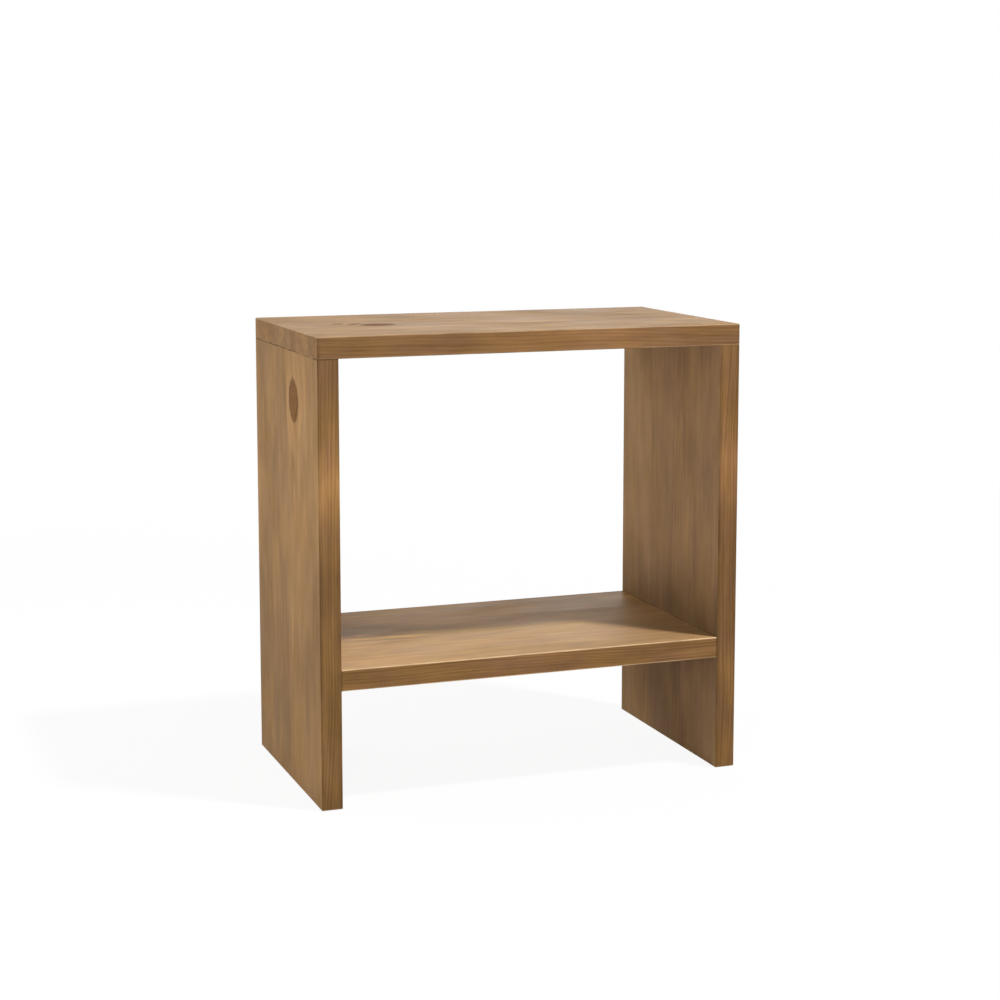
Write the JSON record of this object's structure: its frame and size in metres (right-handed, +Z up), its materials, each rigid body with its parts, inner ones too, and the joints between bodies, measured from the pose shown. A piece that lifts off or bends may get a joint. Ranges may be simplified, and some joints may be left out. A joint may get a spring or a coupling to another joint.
{
  "type": "nightstand",
  "caption": "Open solid-pine nightstand: a flat top on two full-depth side panels with one low shelf, dowelled and glued.",
  "frame": {"origin": "on the floor, in the middle of the nightstand's footprint", "axes": "+X to the right seen from the front, +Y to the back (the wall), +Z up"},
  "size_m": [0.48, 0.265, 0.5],
  "materials": {
    "top_pine": "mid-brown stained pine, satin, worn paler",
    "side_pine": "mid-brown stained pine, satin",
    "shelf_pine": "mid-brown stained pine, satin",
    "dowel_beech": "raw fluted beech"
  },
  "bodies": {
    "root": {"top_front_stave": "top_pine", "top_middle_stave": "top_pine", "top_back_stave": "top_pine", "left_side_front_stave": "side_pine", "left_side_middle_stave": "side_pine", "left_side_back_stave": "side_pine", "right_side_front_stave": "side_pine", "right_side_middle_stave": "side_pine", "right_side_back_stave": "side_pine", "shelf_front_stave": "shelf_pine", "shelf_middle_stave": "shelf_pine", "shelf_back_stave": "shelf_pine", "top_left_dowel_front": "dowel_beech", "top_left_dowel_middle": "dowel_beech", "top_left_dowel_back": "dowel_beech", "top_right_dowel_front": "dowel_beech", "top_right_dowel_middle": "dowel_beech", "top_right_dowel_back": "dowel_beech", "shelf_left_dowel_front": "dowel_beech", "shelf_left_dowel_middle": "dowel_beech", "shelf_left_dowel_back": "dowel_beech", "shelf_right_dowel_front": "dowel_beech", "shelf_right_dowel_middle": "dowel_beech", "shelf_right_dowel_back": "dowel_beech"}
  },
  "joints": []
}
